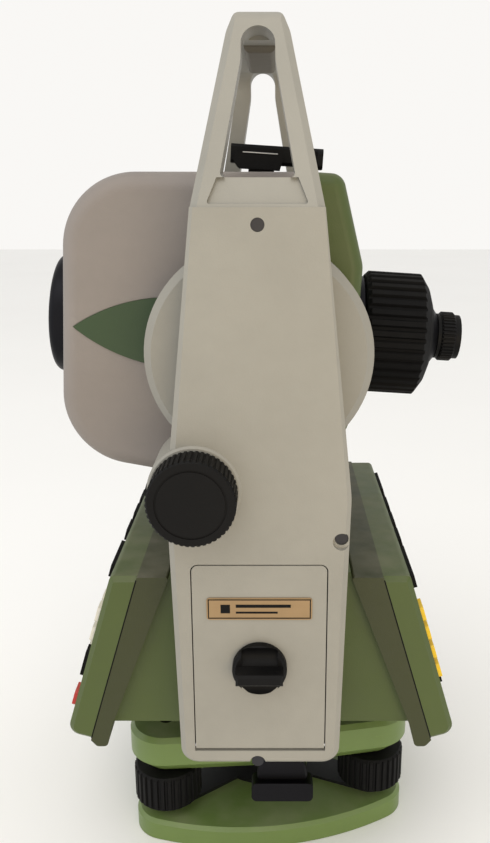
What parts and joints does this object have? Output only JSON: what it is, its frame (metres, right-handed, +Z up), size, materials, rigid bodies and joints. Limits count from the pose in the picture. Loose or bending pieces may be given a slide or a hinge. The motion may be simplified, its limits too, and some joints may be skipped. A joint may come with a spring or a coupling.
{
  "type": "surveying total station",
  "caption": "Surveying total station on a tribrach: tilting telescope between two standards, two keyboards, carrying handle, battery door and foot screws.",
  "frame": {"origin": "centre of the tripod thread in the underside of the base plate", "axes": "+Z up along the vertical axis; -X towards the objective; +X towards the eyepiece; -Y the battery side; the tilting axis is parallel to Y"},
  "size_m": [0.1839, 0.219, 0.361],
  "materials": {
    "beige_cover": "fine matte, warm light grey",
    "beige_casting": "fine matte paint on aluminium",
    "beige_telescope": "fine matte paint",
    "green_plastic": "matte, mid green",
    "green_inlay": "matte, dark green",
    "green_shell": "matte, darker green",
    "green_metal": "satin green paint",
    "black_plastic": "matte black",
    "black_metal": "black anodised",
    "black_rubber": "matte black rubber",
    "grip_rubber": "matte brown-grey rubber",
    "spring_steel": "black oxide",
    "steel": "ground",
    "brass": "turned",
    "grey_metal": "dark grey paint",
    "black_screw": "black oxide",
    "glass": "clear, coated",
    "vial_glass": "yellow-green fluid under clear glass",
    "display_glass": "grey liquid crystal behind clear glass",
    "label": "tan anodised plate, blank",
    "keypad_cream": "cream membrane",
    "yellow_keys": "matte yellow",
    "grey_keys": "matte light grey",
    "red_key": "matte red",
    "circuit_green": "circuit board"
  },
  "bodies": {
    "tribrach": {"tribrach_base_plate": "green_metal", "tribrach_spring_plate": "spring_steel", "tribrach_body": "green_metal", "circular_level_cup": "black_plastic", "circular_level_vial": "vial_glass", "instrument_base": "grey_metal", "vertical_axis_bush": "brass", "horizontal_circle": "glass"},
    "foot_screw_1": {"foot_screw_1": "black_plastic"},
    "foot_screw_2": {"foot_screw_2": "black_plastic"},
    "foot_screw_3": {"foot_screw_3": "black_plastic"},
    "lock_knob": {"tribrach_lock_knob": "black_metal"},
    "alidade": {"alidade_frame": "beige_casting", "battery": "black_plastic", "battery_door_hinge_pin": "steel", "carry_handle": "beige_cover", "circuit_board": "circuit_green", "cover_screws": "black_screw", "far_standard_cover": "beige_cover", "handle_grip_pad": "grip_rubber", "left_display": "display_glass", "left_front_shell": "green_plastic", "left_keypad_mat": "keypad_cream", "left_rear_shell": "green_shell", "lower_housing": "green_plastic", "near_standard_cover": "beige_cover", "right_display": "display_glass", "right_front_shell": "green_plastic", "right_keypad_mat": "keypad_cream", "right_rear_shell": "green_shell", "tilting_axis_bearings": "brass", "vertical_axis_spindle": "steel"},
    "battery_door": {"battery_door": "beige_cover", "label_plate": "label"},
    "door_knob": {"battery_door_knob": "black_plastic"},
    "vertical_drive": {"vertical_drive_knob": "black_plastic"},
    "horizontal_drive": {"horizontal_drive_knob": "black_plastic"},
    "telescope": {"telescope_front_housing": "beige_telescope", "telescope_rear_housing": "green_plastic", "direction_arrows": "green_inlay", "telescope_tube": "black_metal", "tilting_axis_trunnions": "steel", "vertical_circle": "glass", "objective_ring": "black_metal", "objective_lens": "glass", "optical_sight": "black_plastic", "distance_meter": "circuit_green"},
    "focusing_lens": {"focusing_lens_cell": "black_metal"},
    "focus_ring": {"focus_ring": "black_rubber"},
    "eyepiece": {"eyepiece": "black_plastic", "eyepiece_lens": "glass"},
    "left_function_keys": {"left_function_keys": "black_rubber"},
    "left_hot_keys": {"left_hot_keys": "yellow_keys"},
    "left_number_keys": {"left_number_keys": "grey_keys"},
    "left_power_key": {"left_power_key": "red_key"},
    "right_function_keys": {"right_function_keys": "black_rubber"},
    "right_hot_keys": {"right_hot_keys": "yellow_keys"},
    "right_number_keys": {"right_number_keys": "grey_keys"},
    "right_power_key": {"right_power_key": "red_key"}
  },
  "joints": [
    {"name": "foot_screw_1_turn", "type": "hinge", "parent": "tribrach", "child": "foot_screw_1", "pos_m": [-0.04601, -0.03531, 0.02], "axis": [0, 0, 1], "continuous": true},
    {"name": "foot_screw_2_turn", "type": "hinge", "parent": "tribrach", "child": "foot_screw_2", "pos_m": [0.05359, -0.0222, 0.02], "axis": [0, 0, 1], "continuous": true},
    {"name": "foot_screw_3_turn", "type": "hinge", "parent": "tribrach", "child": "foot_screw_3", "pos_m": [-0.00757, 0.0575, 0.02], "axis": [0, 0, 1], "continuous": true},
    {"name": "lock_knob_turn", "type": "hinge", "parent": "tribrach", "child": "lock_knob", "pos_m": [0.0093, -0.05, 0.042], "axis": [0, -1, 0], "range_deg": [0, 180]},
    {"name": "alidade_turn", "type": "hinge", "parent": "tribrach", "child": "alidade", "pos_m": [0, 0, 0.09], "axis": [0, 0, 1], "continuous": true},
    {"name": "battery_door_swing", "type": "hinge", "parent": "alidade", "child": "battery_door", "pos_m": [0, -0.0935, 0.0846], "axis": [1, 0, 0], "range_deg": [0, 95]},
    {"name": "door_knob_turn", "type": "hinge", "parent": "battery_door", "child": "door_knob", "pos_m": [0, -0.095, 0.1212], "axis": [0, -1, 0], "range_deg": [0, 90]},
    {"name": "vertical_drive_turn", "type": "hinge", "parent": "alidade", "child": "vertical_drive", "pos_m": [-0.0237, -0.1, 0.1936], "axis": [0, -1, 0], "continuous": true},
    {"name": "horizontal_drive_turn", "type": "hinge", "parent": "alidade", "child": "horizontal_drive", "pos_m": [0.0237, 0.1, 0.1936], "axis": [0, 1, 0], "continuous": true},
    {"name": "telescope_tilt", "type": "hinge", "parent": "alidade", "child": "telescope", "pos_m": [0, 0, 0.24], "axis": [0, 1, 0], "continuous": true},
    {"name": "focus_turn", "type": "hinge", "parent": "telescope", "child": "focus_ring", "pos_m": [0, 0, 0.24], "axis": [0.998, 0, -0.0628], "range_deg": [-150, 150]},
    {"name": "focusing_lens_slide", "type": "slide", "parent": "telescope", "child": "focusing_lens", "axis": [0.998, 0, -0.0628], "range_m": [-0.005, 0.005]},
    {"name": "eyepiece_turn", "type": "hinge", "parent": "telescope", "child": "eyepiece", "pos_m": [0, 0, 0.24], "axis": [0.998, 0, -0.0628], "range_deg": [-120, 120]},
    {"name": "left_function_keys_press", "type": "slide", "parent": "alidade", "child": "left_function_keys", "axis": [0.9575, 0, -0.2886], "range_m": [0, 0.0008], "stiffness_N_per_m": 900},
    {"name": "left_hot_keys_press", "type": "slide", "parent": "alidade", "child": "left_hot_keys", "axis": [0.9575, 0, -0.2886], "range_m": [0, 0.0008], "stiffness_N_per_m": 900},
    {"name": "left_number_keys_press", "type": "slide", "parent": "alidade", "child": "left_number_keys", "axis": [0.9575, 0, -0.2886], "range_m": [0, 0.0008], "stiffness_N_per_m": 900},
    {"name": "left_power_key_press", "type": "slide", "parent": "alidade", "child": "left_power_key", "axis": [0.9575, 0, -0.2886], "range_m": [0, 0.0008], "stiffness_N_per_m": 900},
    {"name": "right_function_keys_press", "type": "slide", "parent": "alidade", "child": "right_function_keys", "axis": [-0.9575, 0, -0.2886], "range_m": [0, 0.0008], "stiffness_N_per_m": 900},
    {"name": "right_hot_keys_press", "type": "slide", "parent": "alidade", "child": "right_hot_keys", "axis": [-0.9575, 0, -0.2886], "range_m": [0, 0.0008], "stiffness_N_per_m": 900},
    {"name": "right_number_keys_press", "type": "slide", "parent": "alidade", "child": "right_number_keys", "axis": [-0.9575, 0, -0.2886], "range_m": [0, 0.0008], "stiffness_N_per_m": 900},
    {"name": "right_power_key_press", "type": "slide", "parent": "alidade", "child": "right_power_key", "axis": [-0.9575, 0, -0.2886], "range_m": [0, 0.0008], "stiffness_N_per_m": 900}
  ],
  "couplings": [
    {"joint": "focusing_lens_slide", "follows": "focus_turn", "m_per_rad": 0.0019}
  ]
}
